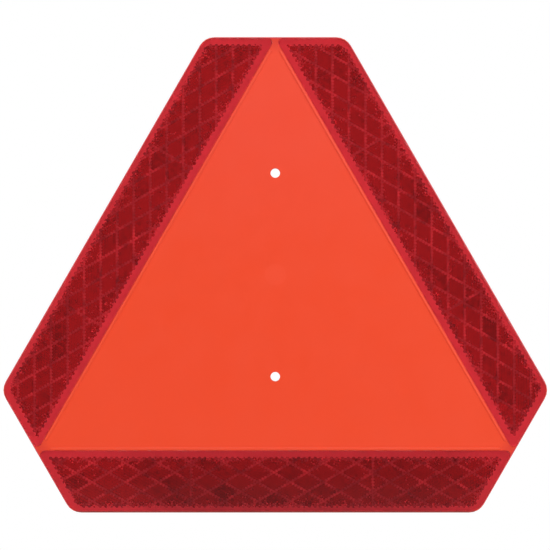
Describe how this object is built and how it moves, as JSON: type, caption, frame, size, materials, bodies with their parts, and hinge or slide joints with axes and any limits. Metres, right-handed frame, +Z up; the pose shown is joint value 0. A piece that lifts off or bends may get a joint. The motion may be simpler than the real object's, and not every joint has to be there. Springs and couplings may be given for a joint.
{
  "type": "slow-moving-vehicle emblem",
  "caption": "Flat truncated-triangle rear warning emblem: fluorescent orange moulded panel with a dark red reflex lens along each long side and bolt holes on its centreline.",
  "frame": {"origin": "in the mounting plane at the back, on the face of the middle pad, halfway between the two bolt holes, and level with the middle of the emblem's height", "axes": "+X along the emblem's width, to the right as seen from the front; +Y out of the back, towards the vehicle; +Z up, towards the top short edge"},
  "size_m": [0.4066, 0.0071, 0.3556],
  "materials": {
    "panel_plastic": "fluorescent red-orange moulded plastic, satin",
    "lens_plastic": "transparent dark red acrylic, glossy front, moulded prisms behind"
  },
  "bodies": {
    "root": {"emblem_panel": "panel_plastic", "lens_bottom": "lens_plastic", "lens_left": "lens_plastic", "lens_right": "lens_plastic"}
  },
  "joints": []
}
